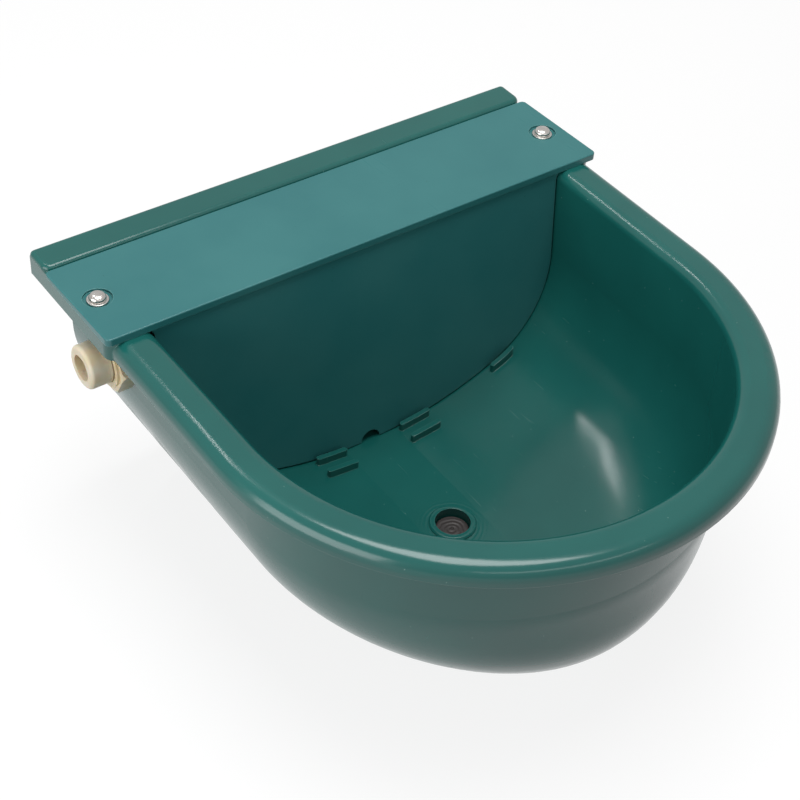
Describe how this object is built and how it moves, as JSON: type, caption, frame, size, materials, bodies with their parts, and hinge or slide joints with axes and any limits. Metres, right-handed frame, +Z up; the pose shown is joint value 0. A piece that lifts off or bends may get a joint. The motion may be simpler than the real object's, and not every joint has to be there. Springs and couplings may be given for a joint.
{
  "type": "livestock drinking bowl",
  "caption": "Wall-hung plastic drinking bowl with a rolled rim, a covered float valve chamber, a threaded side inlet and a floor drain plug.",
  "frame": {"origin": "on the flat back face, midway between the two wall bolt holes", "axes": "+X to the right of someone facing the wall, -Y out of the wall towards the animal, +Z up"},
  "size_m": [0.272, 0.2858, 0.1502],
  "materials": {
    "bowl_plastic": "glossy moulded polyethylene, dark green",
    "cover_plastic": "satin moulded polyethylene, dark green",
    "stainless": "plain stainless steel",
    "stainless_washer": "stamped stainless steel",
    "nylon": "natural nylon, cream",
    "nylon_nut": "natural nylon, cream",
    "nylon_washer": "natural nylon, cream",
    "nozzle_plastic": "white acetal",
    "strainer_plastic": "white moulded plastic",
    "piston_plastic": "natural acetal",
    "lever_plastic": "natural nylon, cream",
    "clamp_plastic": "black nylon",
    "arm_steel": "drawn stainless steel rod",
    "float_plastic": "blow-moulded polyethylene, white",
    "brass": "turned brass",
    "seal_rubber": "black nitrile rubber",
    "plug_rubber": "dark grey rubber"
  },
  "bodies": {
    "bowl": {"bowl_body": "bowl_plastic", "valve_body": "nylon", "valve_gasket": "seal_rubber", "nut_washer": "nylon_washer", "valve_locknut": "nylon_nut", "valve_nozzle": "nozzle_plastic", "inlet_strainer": "strainer_plastic", "pivot_pin": "stainless", "pin_clip": "stainless"},
    "cover": {"float_cover": "cover_plastic", "cover_screws": "stainless", "cover_washers": "stainless_washer"},
    "float_lever": {"float_lever": "lever_plastic", "arm_clamp_screw": "clamp_plastic", "float_arm": "arm_steel", "float_shell": "float_plastic", "float_nuts": "brass"},
    "piston": {"piston": "piston_plastic", "piston_seal": "seal_rubber"},
    "drain_plug": {"drain_plug": "plug_rubber"}
  },
  "joints": [
    {"name": "cover_lift", "type": "slide", "parent": "bowl", "child": "cover", "axis": [0, 0, 1], "range_m": [0, 0.14]},
    {"name": "float_swing", "type": "hinge", "parent": "bowl", "child": "float_lever", "pos_m": [-0.0908, -0.051, -0.014], "axis": [0, -1, 0], "range_deg": [0, 16]},
    {"name": "piston_slide", "type": "slide", "parent": "bowl", "child": "piston", "axis": [-1, 0, 0], "range_m": [0, 0.0035]},
    {"name": "plug_pull", "type": "slide", "parent": "bowl", "child": "drain_plug", "axis": [0, 0, -1], "range_m": [0, 0.03]}
  ],
  "couplings": [
    {"joint": "piston_slide", "follows": "float_swing", "m_per_rad": 0.012459}
  ]
}
